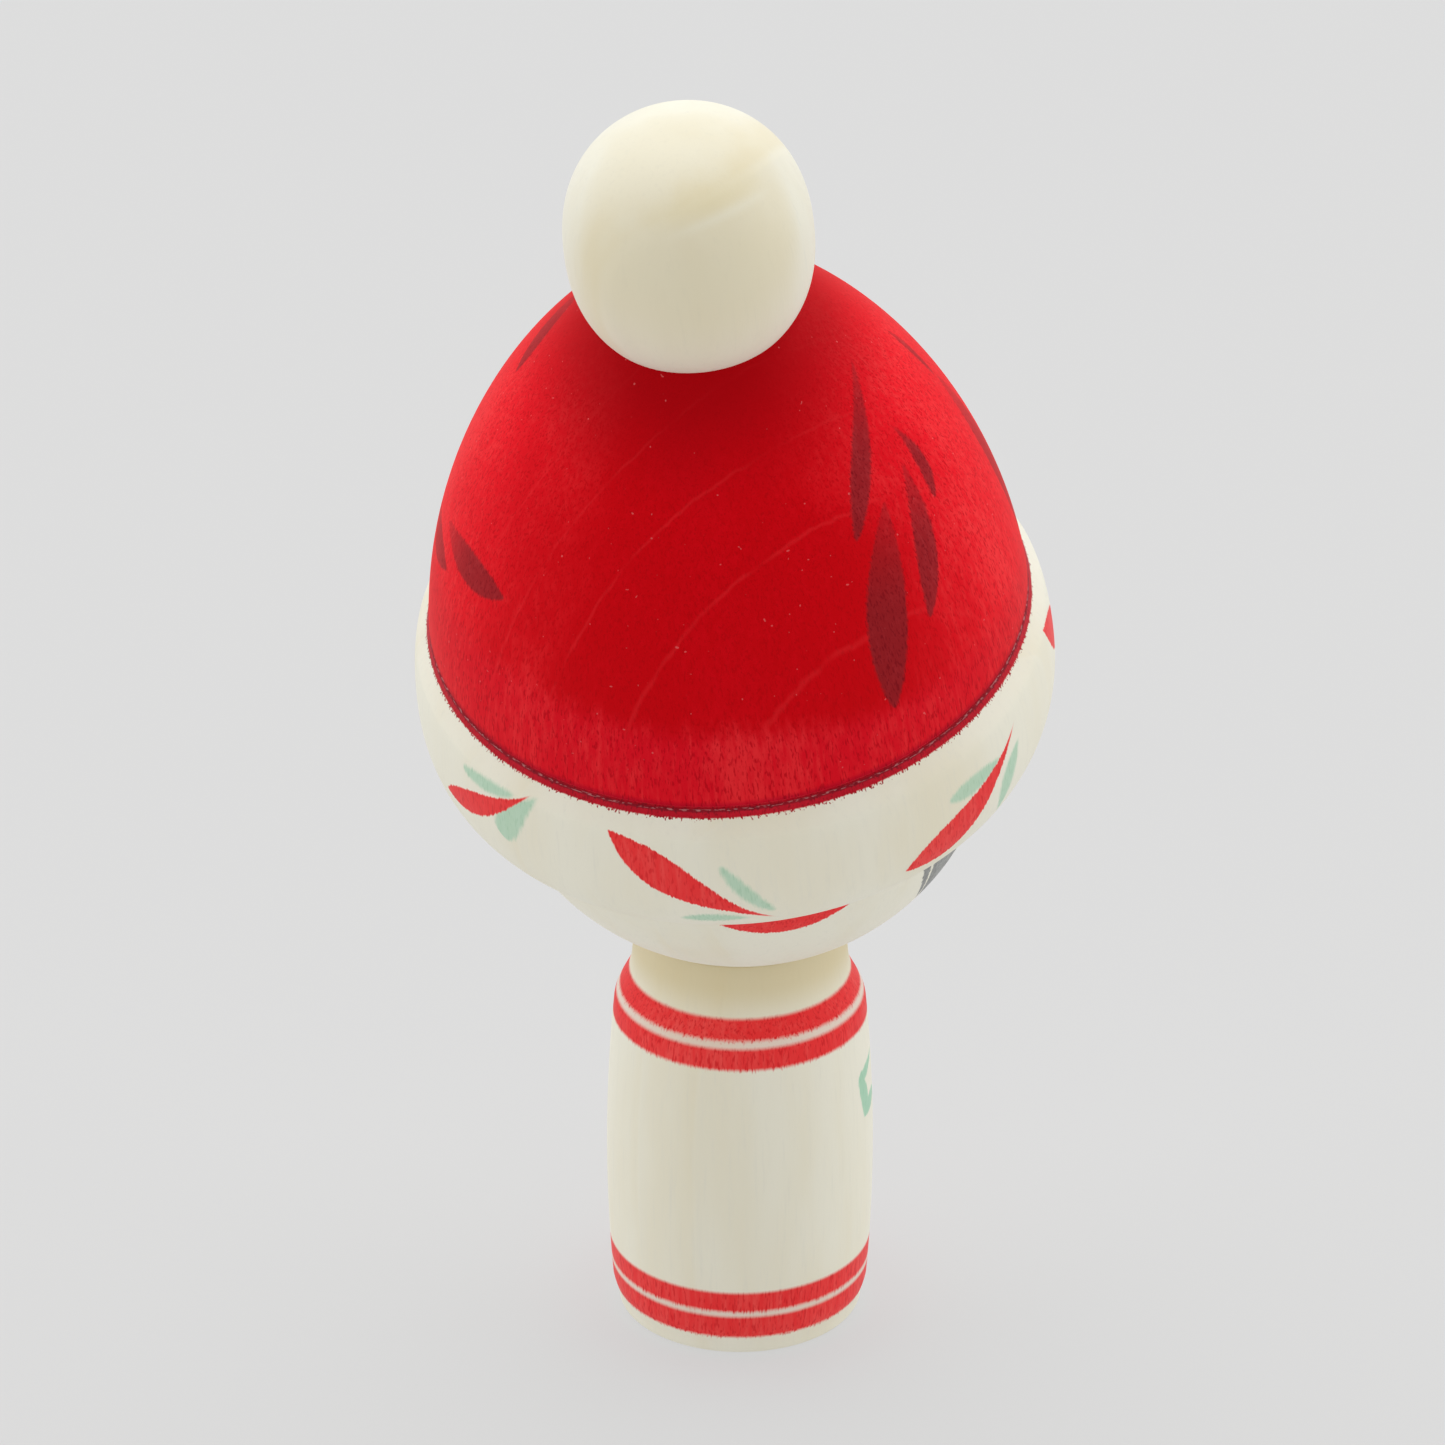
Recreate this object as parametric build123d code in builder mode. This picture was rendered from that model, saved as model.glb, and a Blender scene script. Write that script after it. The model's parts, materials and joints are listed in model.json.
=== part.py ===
from build123d import *

import os
from math import acos, cos, degrees, radians, sin, sqrt

# A turned wooden kokeshi doll: a body, a round head that turns in the neck of the body,
# and a bobble hat that sits loose on the head. All of it is lathe work, so each piece is
# a revolved outline. Millimetres, +Z up. The origin is the centre of the flat base, the
# face looks along -Y, and the hat is worn tilted back, with its top leaning towards +Y.

# Body: its widest radius, with the other places set in from it, and heights from the
# base or, for the drops, down from the rim
body_height = 39.1
belly_radius = 12.0
belly_height = 17.5
foot_inset = 1.05
foot_ease = 0.5
flank_inset = 0.5
flank_height = 2.8
shoulder_inset = 0.7
shoulder_drop = 8.1
rim_radius = 9.35
rim_land = 0.25
neck_flare = 0.4
neck_drop = 4.1

# Head, with a tenon that ends in a swelling, so it turns in the body but can't come out
head_radius = 22.8
seat_gap = 0.12
tenon_radius = 4.5
tenon_length = 15.0
knob_swell = 0.6
knob_height = 4.0
knob_slope = 1.2
tenon_gap = 0.05
tenon_end_gap = 0.3

# Hat, measured along its own axis from the centre of the head
hat_tilt = 16.2
hat_gap = 0.3
rim_drop = 0.4
rim_width = 3.45
brim_wall = 5.2
brim_belly_rise = 5.6
brim_shoulder_wall = 4.75
brim_shoulder_drop = 2.9
brim_height = 14.2
dome_wall = 3.35
dome_sweep = 50.7
crown_thickness = 25.5
crease_width = 0.6
crease_depth = 0.3

# Bobble: a squarish ball, flattened where it stands on the hat, with a dowel in the joint
bobble_radius = 10.8
bobble_half_height = 11.55
bobble_squareness = 2.34
bobble_overhang = 2.04
dowel_radius = 3.0
dowel_length = 14.0
dowel_gap = 0.05
dowel_end_gap = 0.4
dowel_chamfer = 0.5
bobble_steps = 10

foot_radius = belly_radius - foot_inset

# The head rests in a hollow that leaves a thin land round the rim of the neck
seat_mouth_radius = rim_radius - rim_land
seat_radius = head_radius + seat_gap
head_height = body_height + sqrt(seat_radius**2 - seat_mouth_radius**2)
tenon_bottom = head_height - head_radius - tenon_length

# The hat's hollow is a half ball round the head, and its walls are measured out from it
hollow_radius = head_radius + hat_gap
crown_height = hollow_radius + crown_thickness
crown_radius = bobble_radius - bobble_overhang
brim_top = brim_height - rim_drop
bobble_power = 2 / bobble_squareness
flat_angle = degrees(acos((crown_radius / bobble_radius) ** (1 / bobble_power)))
flat_drop = bobble_half_height * sin(radians(flat_angle)) ** bobble_power
bobble_height = crown_height + flat_drop

hat_direction = (0, sin(radians(hat_tilt)), cos(radians(hat_tilt)))
hat_axis = Axis((0, 0, head_height), hat_direction)
hat_plane = Plane(
    origin=(0, 0, head_height),
    x_dir=(1, 0, 0),
    z_dir=(0, -cos(radians(hat_tilt)), sin(radians(hat_tilt))),
)
crown_plane = Plane(
    origin=hat_axis.position + hat_axis.direction * crown_height,
    x_dir=(1, 0, 0),
    z_dir=hat_direction,
)


def tenon_outline(gap, end_gap):
    """Half outline of the head's tenon, or of its socket when the gaps are given."""
    shank = tenon_radius + gap
    knob = shank + knob_swell
    knob_top = tenon_bottom + knob_height + end_gap
    bottom = tenon_bottom - end_gap
    return [
        (0, head_height),
        (shank, head_height),
        (shank, knob_top),
        (knob, knob_top - knob_slope),
        (knob, bottom + knob_slope),
        (shank, bottom),
        (0, bottom),
    ]


def bobble_point(angle):
    """Point of the bobble's side at an angle up from its widest place, in degrees."""
    side = 1 if angle >= 0 else -1
    out = bobble_radius * cos(radians(angle)) ** bobble_power
    up = side * bobble_half_height * abs(sin(radians(angle))) ** bobble_power
    return (out, bobble_height + up)


os.makedirs("parts", exist_ok=True)

# Body: slim barrel with a drawn-in shoulder, a hollow seat on top and the socket below it
with BuildPart() as body:
    with BuildSketch(Plane.XZ):
        with BuildLine():
            base = Line((0, 0), (foot_radius - foot_ease, 0))
            foot = TangentArc(base @ 1, (foot_radius, foot_ease), tangent=(1, 0))
            flank = ThreePointArc(
                (belly_radius - flank_inset, flank_height),
                (belly_radius, belly_height),
                (belly_radius - shoulder_inset, body_height - shoulder_drop),
            )
            Spline(foot @ 1, flank @ 0, tangents=((0, 1), flank % 0))
            neck = Spline(
                flank @ 1,
                (rim_radius + neck_flare, body_height - neck_drop),
                tangents=(flank % 1, (-neck_flare, neck_drop)),
            )
            Polyline(neck @ 1, (rim_radius, body_height), (0, body_height), base @ 0)
        make_face()
    revolve(axis=Axis.Z)
    with Locations((0, 0, head_height)):
        Sphere(seat_radius, mode=Mode.SUBTRACT)
    with BuildSketch(Plane.XZ):
        Polygon(*tenon_outline(tenon_gap, tenon_end_gap), align=None)
    revolve(axis=Axis.Z, mode=Mode.SUBTRACT)

# Head: a ball in one piece with its tenon
with BuildPart() as head:
    with Locations((0, 0, head_height)):
        Sphere(head_radius)
    with BuildSketch(Plane.XZ):
        Polygon(*tenon_outline(0, 0), align=None)
    revolve(axis=Axis.Z)

# Hat: rolled brim, scribed crease and a tall pointed dome, hollowed to take the head
with BuildPart() as hat:
    with BuildSketch(hat_plane):
        with BuildLine():
            crown = Line((0, crown_height), (crown_radius, crown_height))
            dome_foot = (hollow_radius + dome_wall, brim_top + crease_width / 2)
            RadiusArc(crown @ 1, dome_foot, dome_sweep)
            crease = Polyline(
                dome_foot,
                (hollow_radius + dome_wall - crease_depth, brim_top),
                (hollow_radius + dome_wall, brim_top - crease_width / 2),
            )
            brim = Spline(
                crease @ 1,
                (hollow_radius + brim_shoulder_wall, brim_top - brim_shoulder_drop),
                (hollow_radius + brim_wall, brim_belly_rise - rim_drop),
                (hollow_radius + rim_width, -rim_drop),
                tangents=((0.35, -1), (-0.8, -1)),
            )
            Polyline(brim @ 1, (hollow_radius, -rim_drop), (hollow_radius, 0))
            ceiling = CenterArc((0, 0), hollow_radius, 0, 90)
            Line(ceiling @ 1, crown @ 0)
        make_face()
    revolve(axis=hat_axis)
    with BuildSketch(crown_plane):
        Circle(dowel_radius + dowel_gap)
    extrude(amount=-(dowel_length / 2 + dowel_end_gap), mode=Mode.SUBTRACT)

# Bobble: closed ball of bare wood on the crown, bored for the dowel
with BuildPart() as bobble:
    with BuildSketch(hat_plane):
        with BuildLine():
            step = (90 + flat_angle) / bobble_steps
            points = [bobble_point(step * i - flat_angle) for i in range(bobble_steps)]
            skin = Spline(*points, (0, bobble_height + bobble_half_height))
            Polyline(skin @ 1, (0, crown_height), skin @ 0)
        make_face()
    revolve(axis=hat_axis)
    with BuildSketch(crown_plane):
        Circle(dowel_radius + dowel_gap)
    extrude(amount=dowel_length / 2 + dowel_end_gap, mode=Mode.SUBTRACT)

# Dowel: glued half in the crown and half in the bobble
with BuildPart() as bobble_dowel:
    with BuildSketch(crown_plane.offset(-dowel_length / 2)):
        Circle(dowel_radius)
    extrude(amount=dowel_length)
    chamfer(bobble_dowel.edges(), dowel_chamfer)

body.part.label = "body"
export_step(body.part, "parts/body.step")
head.part.label = "head"
export_step(head.part, "parts/head.step")
hat.part.label = "hat"
export_step(hat.part, "parts/hat.step")
bobble.part.label = "bobble"
export_step(bobble.part, "parts/bobble.step")
bobble_dowel.part.label = "bobble_dowel"
export_step(bobble_dowel.part, "parts/bobble_dowel.step")
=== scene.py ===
import json
import math

import bpy
from mathutils import Matrix, Vector


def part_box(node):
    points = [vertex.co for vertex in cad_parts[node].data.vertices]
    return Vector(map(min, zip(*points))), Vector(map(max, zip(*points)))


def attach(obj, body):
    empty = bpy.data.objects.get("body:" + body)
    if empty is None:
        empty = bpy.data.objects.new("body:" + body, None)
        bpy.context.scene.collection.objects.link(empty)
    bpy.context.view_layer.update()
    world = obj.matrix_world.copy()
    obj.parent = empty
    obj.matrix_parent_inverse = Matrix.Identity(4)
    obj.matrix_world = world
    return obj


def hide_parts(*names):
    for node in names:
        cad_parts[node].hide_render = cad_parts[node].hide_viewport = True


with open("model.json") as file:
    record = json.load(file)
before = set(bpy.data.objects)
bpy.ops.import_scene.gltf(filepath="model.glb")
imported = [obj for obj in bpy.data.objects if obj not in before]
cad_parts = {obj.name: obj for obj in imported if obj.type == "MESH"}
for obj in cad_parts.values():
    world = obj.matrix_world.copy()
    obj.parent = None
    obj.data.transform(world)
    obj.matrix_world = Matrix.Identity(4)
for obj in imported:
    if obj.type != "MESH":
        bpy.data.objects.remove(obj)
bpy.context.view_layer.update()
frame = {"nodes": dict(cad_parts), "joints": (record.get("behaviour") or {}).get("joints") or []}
print("frame loaded:", sorted(frame["nodes"]))

mm = 0.001
bodyLow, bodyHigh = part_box("body")
headLow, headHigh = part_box("head")
bobbleLow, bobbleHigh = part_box("bobble")

# the ball's radius comes from its box, and its centre is one radius under its top
headRadius = (headHigh.x - headLow.x) / 2 / mm
headCentre = headHigh.z / mm - headRadius
liftAxis = Vector(next(j["axis"] for j in frame["joints"] if j["name"] == "hat_lift"))
hatTilt = math.atan2(liftAxis.y, liftAxis.z)


# helpers that shape meshes

def deselectAll():
    if bpy.context.object and bpy.context.object.mode != "OBJECT":
        bpy.ops.object.mode_set(mode="OBJECT")
    bpy.ops.object.select_all(action="DESELECT")


def arcPoints(centre, radius, start, end, steps):
    # (out, up) points on an arc, angles in degrees up from the outward direction
    sweep = [math.radians(start + (end - start) * i / steps) for i in range(steps + 1)]
    return [(centre[0] + radius * math.cos(a), centre[1] + radius * math.sin(a)) for a in sweep]


def curveBetween(start, end, handles, steps):
    # (out, up) points on a Bezier curve, each handle given from its own end
    near = (start[0] + handles[0][0], start[1] + handles[0][1])
    far = (end[0] + handles[1][0], end[1] + handles[1][1])
    points = []
    for i in range(steps + 1):
        t = i / steps
        weights = ((1 - t) ** 3, 3 * t * (1 - t) ** 2, 3 * t * t * (1 - t), t ** 3)
        corners = (start, near, far, end)
        points.append(tuple(sum(w * p[k] for w, p in zip(weights, corners)) for k in (0, 1)))
    return points


def threePointArc(a, b, c, steps):
    # arc through three (out, up) points, from the first to the last
    d = 2 * (a[0] * (b[1] - c[1]) + b[0] * (c[1] - a[1]) + c[0] * (a[1] - b[1]))
    sa, sb, sc = (p[0] ** 2 + p[1] ** 2 for p in (a, b, c))
    cx = (sa * (b[1] - c[1]) + sb * (c[1] - a[1]) + sc * (a[1] - b[1])) / d
    cy = (sa * (c[0] - b[0]) + sb * (a[0] - c[0]) + sc * (b[0] - a[0])) / d
    start = math.degrees(math.atan2(a[1] - cy, a[0] - cx))
    end = math.degrees(math.atan2(c[1] - cy, c[0] - cx))
    return arcPoints((cx, cy), math.hypot(a[0] - cx, a[1] - cy), start, end, steps)


lathe = {
    "weldGap": 0.0005,  # points nearer than this become one, in millimetres
    "sharpAngle": 35,  # edges that turn by more degrees than this stay sharp
}


def turnOnLathe(name, outline, height, tilt, steps):
    # a plane shrinks to one point, is drawn out point by point along the outline, then spun round
    deselectAll()
    first = (outline[0][0] * mm, 0, outline[0][1] * mm)
    bpy.ops.mesh.primitive_plane_add(size=mm, location=first)
    piece = bpy.context.object
    piece.name = name
    bpy.ops.object.mode_set(mode="EDIT")
    bpy.ops.mesh.select_all(action="SELECT")
    bpy.ops.mesh.merge(type="CENTER")
    for here, there in zip(outline, outline[1:]):
        step = ((there[0] - here[0]) * mm, 0, (there[1] - here[1]) * mm)
        bpy.ops.mesh.extrude_region_move(TRANSFORM_OT_translate={"value": step})
    bpy.ops.mesh.select_all(action="SELECT")
    bpy.ops.mesh.spin(steps=steps, angle=2 * math.pi, center=(0, 0, 0), axis=(0, 0, 1))
    bpy.ops.mesh.select_all(action="SELECT")
    bpy.ops.mesh.remove_doubles(threshold=lathe["weldGap"] * mm)
    bpy.ops.mesh.normals_make_consistent(inside=False)
    bpy.ops.object.mode_set(mode="OBJECT")
    bpy.ops.object.transform_apply(location=True, rotation=True, scale=True)
    piece.rotation_euler = (-tilt, 0, 0)
    piece.location = (0, 0, height * mm)
    bpy.ops.object.transform_apply(location=True, rotation=True, scale=True)
    bpy.ops.object.shade_smooth_by_angle(angle=math.radians(lathe["sharpAngle"]))
    return piece


# helpers that build node trees

def linear(value):
    # one 0-255 screen value to a linear one
    value /= 255
    return value / 12.92 if value <= 0.04045 else ((value + 0.055) / 1.055) ** 2.4


def colour(red, green, blue):
    return (linear(red), linear(green), linear(blue), 1)


def feed(tree, socket, value):
    if isinstance(value, bpy.types.NodeSocket):
        tree.links.new(value, socket)
    else:
        socket.default_value = value


def calc(tree, operation, *values, clamp=False):
    node = tree.nodes.new("ShaderNodeMath")
    node.operation = operation
    node.use_clamp = clamp
    for socket, value in zip(node.inputs, values):
        feed(tree, socket, value)
    return node.outputs["Value"]


def vectorCalc(tree, operation, *values):
    node = tree.nodes.new("ShaderNodeVectorMath")
    node.operation = operation
    for socket, value in zip(node.inputs, values):
        feed(tree, socket, value)
    return node.outputs["Value" if operation == "LENGTH" else "Vector"]


def smooth(tree, value, low, high):
    # 0 below low, 1 above high, eased between them
    node = tree.nodes.new("ShaderNodeMapRange")
    node.interpolation_type = "SMOOTHSTEP"
    for name, x in (("Value", value), ("From Min", low), ("From Max", high)):
        feed(tree, node.inputs[name], x)
    return node.outputs["Result"]


def zoneOf(tree, value, start, stop):
    # 1 inside a zone, eased in over the first pair of limits and out over the second
    return calc(tree, "SUBTRACT", smooth(tree, value, *start), smooth(tree, value, *stop))


def noise(tree, vector, scale, detail, roughness=0.5):
    node = tree.nodes.new("ShaderNodeTexNoise")
    for name, x in (("Vector", vector), ("Scale", scale), ("Detail", detail), ("Roughness", roughness)):
        feed(tree, node.inputs[name], x)
    return node.outputs["Fac"]


def mixColour(tree, factor, under, over):
    node = tree.nodes.new("ShaderNodeMix")
    node.data_type = "RGBA"
    for socket, value in ((node.inputs[0], factor), (node.inputs[6], under), (node.inputs[7], over)):
        feed(tree, socket, value)
    return node.outputs[2]


def makeGroup(name, inputs, outputs):
    # inputs are (name, default), where a default of three numbers is a vector and of four a colour
    group = bpy.data.node_groups.new(name, "ShaderNodeTree")
    kinds = {1: "NodeSocketFloat", 3: "NodeSocketVector", 4: "NodeSocketColor"}
    for label, default in inputs:
        size = len(default) if isinstance(default, tuple) else 1
        socket = group.interface.new_socket(name=label, in_out="INPUT", socket_type=kinds[size])
        socket.default_value = default
    for label, size in outputs:
        group.interface.new_socket(name=label, in_out="OUTPUT", socket_type=kinds[size])
    entry = group.nodes.new("NodeGroupInput")
    result = group.nodes.new("NodeGroupOutput")
    return group, entry.outputs, result.inputs


def useGroup(tree, group, values):
    node = tree.nodes.new("ShaderNodeGroup")
    node.node_tree = group
    for name, value in values.items():
        feed(tree, node.inputs[name], value)
    return node.outputs


# shader groups that the wooden pieces share; a pair of values in their dictionaries says
# where an effect starts and where it is full

def makeTurnedPlace():
    # where a point of a turned piece is: its turn round the axis from the face side, its
    # distance from the axis and its rise along it
    group, given, out = makeGroup("turnedPlace", [("Vector", (0, 0, 0))],
                                  [("Turn", 1), ("Girth", 1), ("Rise", 1)])
    split = group.nodes.new("ShaderNodeSeparateXYZ")
    feed(group, split.inputs[0], given["Vector"])
    x, y, z = split.outputs
    feed(group, out["Turn"], calc(group, "ARCTAN2", x, calc(group, "MULTIPLY", y, -1)))
    square = calc(group, "ADD", calc(group, "MULTIPLY", x, x), calc(group, "MULTIPLY", y, y))
    feed(group, out["Girth"], calc(group, "SQRT", square))
    feed(group, out["Rise"], z)
    return group


# scales are per millimetre, and a run below 1 draws a pattern out along the grain
woodFigure = {
    "slowRun": 0.25,
    "fibreRun": 0.07,
    "tubeRun": 0.18,
    "sway": {"scale": 0.07, "detail": 1.0},
    "swayWidth": 1.2,
    "quiver": {"scale": 0.8, "detail": 2.0},
    "quiverWidth": 0.4,
    "ringWidth": 0.035,
    "tone": {"scale": 0.11, "detail": 3.0, "roughness": 0.55},
    "streak": {"scale": 2.2, "detail": 4.0, "roughness": 0.6},
    "pore": {"scale": 5.6, "detail": 1.5},
    "warmTones": (0.38, 0.72),
    "greyStreaks": (0.5, 0.82),
    "greyPores": (0.6, 0.8),
    "poreGrey": 0.1,
    "yearPatches": (0.36, 0.62),
    # shares of a year, as pairs where a zone comes in and where it goes out
    "lateZone": ((0.66, 0.92), (0.95, 1.0)),
    "earlyZone": ((0.0, 0.03), (0.03, 0.25)),
}


def makeWoodGrain():
    # grain along local Z, in millimetres: growth rings round a pith line, fine streaks and pores
    f = woodFigure
    group, given, out = makeGroup(
        "woodGrain",
        [("Vector", (0, 0, 0)), ("Pith X", 30.0), ("Pith Y", -25.0), ("Ring Gap", 4.8)],
        [("Tone", 1), ("Ring", 1), ("Season", 1), ("Streak", 1), ("Pore", 1), ("Height", 1)])
    vector = given["Vector"]
    slow, fibre, tube = [vectorCalc(group, "MULTIPLY", vector, (1.0, 1.0, f[run]))
                         for run in ("slowRun", "fibreRun", "tubeRun")]
    split = group.nodes.new("ShaderNodeSeparateXYZ")
    feed(group, split.inputs[0], vector)
    dx = calc(group, "SUBTRACT", split.outputs[0], given["Pith X"])
    dy = calc(group, "SUBTRACT", split.outputs[1], given["Pith Y"])
    square = calc(group, "ADD", calc(group, "MULTIPLY", dx, dx), calc(group, "MULTIPLY", dy, dy))
    distance = calc(group, "SQRT", square)
    # the rings sway slowly and quiver a little
    sway = calc(group, "SUBTRACT", noise(group, slow, **f["sway"]), 0.5)
    quiver = calc(group, "SUBTRACT", noise(group, slow, **f["quiver"]), 0.5)
    warp = calc(group, "MULTIPLY_ADD", quiver, f["quiverWidth"], distance)
    warp = calc(group, "MULTIPLY_ADD", sway, f["swayWidth"], warp)
    season = calc(group, "FRACT", calc(group, "DIVIDE", warp, given["Ring Gap"]))
    nearest = calc(group, "MINIMUM", season, calc(group, "SUBTRACT", 1.0, season))
    between = smooth(group, nearest, 0.0, f["ringWidth"])
    feed(group, out["Ring"], calc(group, "SUBTRACT", 1.0, between))
    feed(group, out["Season"], season)
    feed(group, out["Tone"], noise(group, slow, **f["tone"]))
    streak = noise(group, fibre, **f["streak"])
    feed(group, out["Streak"], streak)
    pore = noise(group, tube, **f["pore"])
    feed(group, out["Pore"], pore)
    height = calc(group, "MULTIPLY_ADD", streak, 0.5, calc(group, "MULTIPLY", pore, 0.5))
    feed(group, out["Height"], height)
    return group


brush = {
    "creep": 0.5,  # how far dye creeps along the pores at a stroke's edge
    "creepHalves": (0.05, 0.4),  # half widths of a stroke
    "finestHalf": 0.01,
    "dryShare": (-1.0, 0.1),  # from a stroke's start at -1 to its end at 1
}


def makeBrushStroke():
    # one loaded-brush stroke on a turned surface: a leaf shape with its own heel and tip
    group, given, out = makeGroup(
        "brushStroke",
        [("Turn", 0.0), ("Girth", 1.0), ("Rise", 0.0), ("Grain", 0.5), ("At Turn", 0.0),
         ("At Rise", 0.0), ("Length", 10.0), ("Width", 2.0), ("Lean", 0.0), ("Bow", 0.0),
         ("Heel", 0.8), ("Tip", 1.2), ("Soft", 0.25), ("Fade", 0.0)],
        [("Stroke", 1)])
    # the way along and across the stroke, from its middle
    turned = calc(group, "SUBTRACT", given["Turn"], calc(group, "RADIANS", given["At Turn"]))
    u = calc(group, "MULTIPLY", calc(group, "WRAP", turned, math.pi, -math.pi), given["Girth"])
    v = calc(group, "SUBTRACT", given["Rise"], given["At Rise"])
    lean = calc(group, "RADIANS", given["Lean"])
    c, s = calc(group, "COSINE", lean), calc(group, "SINE", lean)
    along = calc(group, "ADD", calc(group, "MULTIPLY", u, c), calc(group, "MULTIPLY", v, s))
    across = calc(group, "SUBTRACT", calc(group, "MULTIPLY", v, c), calc(group, "MULTIPLY", u, s))
    t = calc(group, "DIVIDE", calc(group, "MULTIPLY", along, 2.0), given["Length"])
    t = calc(group, "MAXIMUM", calc(group, "MINIMUM", t, 1.0), -1.0)
    # its half width there, and how far inside its edge the point is
    heel = calc(group, "POWER", calc(group, "ADD", 1.0, t), given["Heel"])
    tip = calc(group, "POWER", calc(group, "SUBTRACT", 1.0, t), given["Tip"])
    widest = calc(group, "MULTIPLY", given["Width"], 0.5)
    half = calc(group, "MULTIPLY", calc(group, "MULTIPLY", heel, tip), widest)
    bowed = calc(group, "SUBTRACT", 1.0, calc(group, "MULTIPLY", t, t))
    middle = calc(group, "MULTIPLY", given["Bow"], bowed)
    off = calc(group, "ABSOLUTE", calc(group, "SUBTRACT", across, middle))
    creep = calc(group, "MULTIPLY", calc(group, "SUBTRACT", given["Grain"], 0.5), brush["creep"])
    creep = calc(group, "MULTIPLY", creep, smooth(group, half, *brush["creepHalves"]))
    inside = calc(group, "ADD", calc(group, "SUBTRACT", half, off), creep)
    edge = calc(group, "MULTIPLY", given["Soft"], 0.5)
    body = smooth(group, inside, calc(group, "MULTIPLY", edge, -1.0), edge)
    body = calc(group, "MULTIPLY", body, smooth(group, half, brush["finestHalf"], edge))
    loaded = smooth(group, t, *brush["dryShare"])
    thin = calc(group, "MULTIPLY", calc(group, "SUBTRACT", 1.0, loaded), given["Fade"])
    feed(group, out["Stroke"], calc(group, "MULTIPLY", body, calc(group, "SUBTRACT", 1.0, thin)))
    return group


dyeing = {
    "keenPores": (0.45, 0.75),
    "creepUp": 0.25,  # as a share of the creep downwards
    "streakShare": 0.6,
    "toneShare": 0.4,
    "palePlaces": (0.42, 0.68),
    "darkPores": (0.52, 0.68),
}


def makeDyeBand():
    # a band of dye between two rises, with soft edges that creep along the grain
    group, given, out = makeGroup(
        "dyeBand",
        [("Rise", 0.0), ("Grain", 0.5), ("Low", 0.0), ("High", 1.0), ("Soft", 0.2), ("Creep", 0.3)],
        [("Band", 1)])
    keen = smooth(group, given["Grain"], *dyeing["keenPores"])
    spread = calc(group, "MULTIPLY", keen, given["Creep"])
    low = calc(group, "SUBTRACT", given["Low"], spread)
    high = calc(group, "ADD", given["High"], calc(group, "MULTIPLY", spread, dyeing["creepUp"]))
    half = calc(group, "MULTIPLY", given["Soft"], 0.5)
    rising, falling = [
        smooth(group, given["Rise"], calc(group, "SUBTRACT", edge, half), calc(group, "ADD", edge, half))
        for edge in (low, high)]
    feed(group, out["Band"], calc(group, "SUBTRACT", rising, falling, clamp=True))
    return group


def makeDyeDepth():
    # dye soaked into wood: dark where it went into pores, light on the harder fibres
    group, given, out = makeGroup(
        "dyeDepth",
        [("Streak", 0.5), ("Pore", 0.5), ("Tone", 0.5), ("Dye", (0.6, 0.02, 0.03, 1)),
         ("Pale", (0.8, 0.1, 0.1, 1)), ("Dark", (0.3, 0.0, 0.01, 1)), ("Mottle", 0.5)],
        [("Color", 4)])
    mixed = calc(group, "ADD", calc(group, "MULTIPLY", given["Streak"], dyeing["streakShare"]),
                 calc(group, "MULTIPLY", given["Tone"], dyeing["toneShare"]))
    pale = smooth(group, mixed, *dyeing["palePlaces"])
    dark = smooth(group, given["Pore"], *dyeing["darkPores"])
    shade = mixColour(group, calc(group, "MULTIPLY", pale, given["Mottle"]), given["Dye"], given["Pale"])
    shade = mixColour(group, calc(group, "MULTIPLY", dark, given["Mottle"]), shade, given["Dark"])
    feed(group, out["Color"], shade)
    return group


def makeBareWood():
    # cream wood: warmer and cooler patches and greyish streaks; each year ends in a warm zone
    # and the next begins with a cooler one
    f = woodFigure
    group, given, out = makeGroup(
        "bareWood",
        [("Tone", 0.5), ("Streak", 0.5), ("Pore", 0.5), ("Season", 0.5),
         ("Pale", (0.8, 0.8, 0.7, 1)), ("Warm", (0.7, 0.6, 0.4, 1)), ("Grey", (0.6, 0.6, 0.5, 1)),
         ("Late", (0.6, 0.5, 0.3, 1)), ("Figure", 0.5), ("Years", 0.2)],
        [("Color", 4)])
    warm = smooth(group, given["Tone"], *f["warmTones"])
    grey = smooth(group, given["Streak"], *f["greyStreaks"])
    years = calc(group, "MULTIPLY", smooth(group, given["Tone"], *f["yearPatches"]), given["Years"])
    late = zoneOf(group, given["Season"], *f["lateZone"])
    early = zoneOf(group, given["Season"], *f["earlyZone"])
    pore = smooth(group, given["Pore"], *f["greyPores"])
    shade = given["Pale"]
    for mask, share, over in ((warm, given["Figure"], "Warm"), (grey, given["Figure"], "Grey"),
                              (late, years, "Late"), (early, years, "Grey"),
                              (pore, f["poreGrey"], "Grey")):
        shade = mixColour(group, calc(group, "MULTIPLY", mask, share), shade, given[over])
    feed(group, out["Color"], shade)
    return group


turnedPlace = makeTurnedPlace()
woodGrain = makeWoodGrain()
brushStroke = makeBrushStroke()
dyeBand = makeDyeBand()
dyeDepth = makeDyeDepth()
bareWood = makeBareWood()
print("shader groups made")


# the bare wood that every piece is turned from

creamWood = {
    "pale": colour(241, 238, 222),
    "warm": colour(233, 224, 196),
    "grey": colour(227, 225, 212),
    "late": colour(229, 214, 172),
    "figure": 0.4,
    "roughness": 0.6,
    "specular": 0.15,
    "sheen": 0.1,
    "sheenRoughness": 0.4,
    "grainBump": 0.12,
    "bumpDepth": 0.1,
}


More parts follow.
